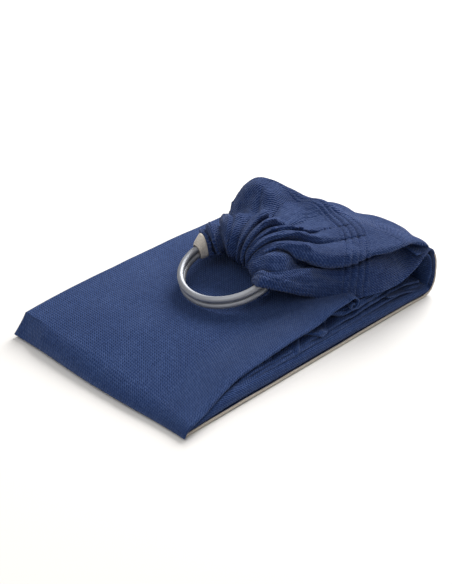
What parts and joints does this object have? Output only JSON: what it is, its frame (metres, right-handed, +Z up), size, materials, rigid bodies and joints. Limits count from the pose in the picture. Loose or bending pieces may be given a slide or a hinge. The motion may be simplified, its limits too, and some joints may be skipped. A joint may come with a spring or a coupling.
{
  "type": "ring sling",
  "caption": "Long woven cloth for carrying a baby, folded into a flat bundle with its gathered shoulder and pair of aluminium rings on top.",
  "frame": {"origin": "under the middle of the folded bundle, on the surface it lies on", "axes": "+X along the bundle towards the open fold that the shoulder comes over, +Y across it to the side away from the cream edge, +Z up"},
  "size_m": [0.314, 0.2076, 0.086],
  "materials": {
    "navy_cloth": "matt woven cotton twill",
    "cream_binding": "matt twill tape",
    "navy_thread": "matt sewing thread",
    "satin_aluminium": "satin"
  },
  "bodies": {
    "bundle": {"bottom_length": "navy_cloth", "left_fold": "navy_cloth", "inner_length_1": "navy_cloth", "inner_length_2": "navy_cloth", "inner_length_3": "navy_cloth", "tail_hem": "navy_cloth", "top_length": "navy_cloth", "right_fold_outer_ply": "navy_cloth", "right_fold_inner_ply": "navy_cloth", "front_rail_binding": "cream_binding", "inner_rail_binding": "cream_binding"},
    "shoulder": {"shoulder_panel": "navy_cloth", "shoulder_stitch_row_1": "navy_thread", "shoulder_stitch_row_2": "navy_thread", "shoulder_stitch_row_3": "navy_thread", "shoulder_stitch_row_4": "navy_thread", "front_flap": "navy_cloth", "front_pleat": "navy_cloth", "middle_pleat_front": "navy_cloth", "middle_pleat_back": "navy_cloth", "hump_lobe": "navy_cloth", "back_flap": "navy_cloth"},
    "ring_gather": {"ring_sleeve": "navy_cloth", "sleeve_binding": "cream_binding", "neck_fold_front": "navy_cloth", "neck_fold_back": "navy_cloth"},
    "ring_upper": {"ring_upper": "satin_aluminium"},
    "ring_lower": {"ring_lower": "satin_aluminium"}
  },
  "joints": [
    {"name": "shoulder_unfold", "type": "hinge", "parent": "bundle", "child": "shoulder", "pos_m": [0.1245, 0, 0.0605], "axis": [0, 1, 0], "range_deg": [0, 120]},
    {"name": "rings_lift", "type": "hinge", "parent": "shoulder", "child": "ring_gather", "pos_m": [0.05, 0, 0.068], "axis": [0, 1, 0], "range_deg": [0, 90]},
    {"name": "ring_upper_turn", "type": "hinge", "parent": "ring_gather", "child": "ring_upper", "pos_m": [-0.0045, 0.0005, 0.045], "axis": [-0.2857, 0, 0.9583], "continuous": true},
    {"name": "ring_lower_turn", "type": "hinge", "parent": "ring_gather", "child": "ring_lower", "pos_m": [-0.0045, 0.0005, 0.045], "axis": [-0.2857, 0, 0.9583], "continuous": true}
  ]
}
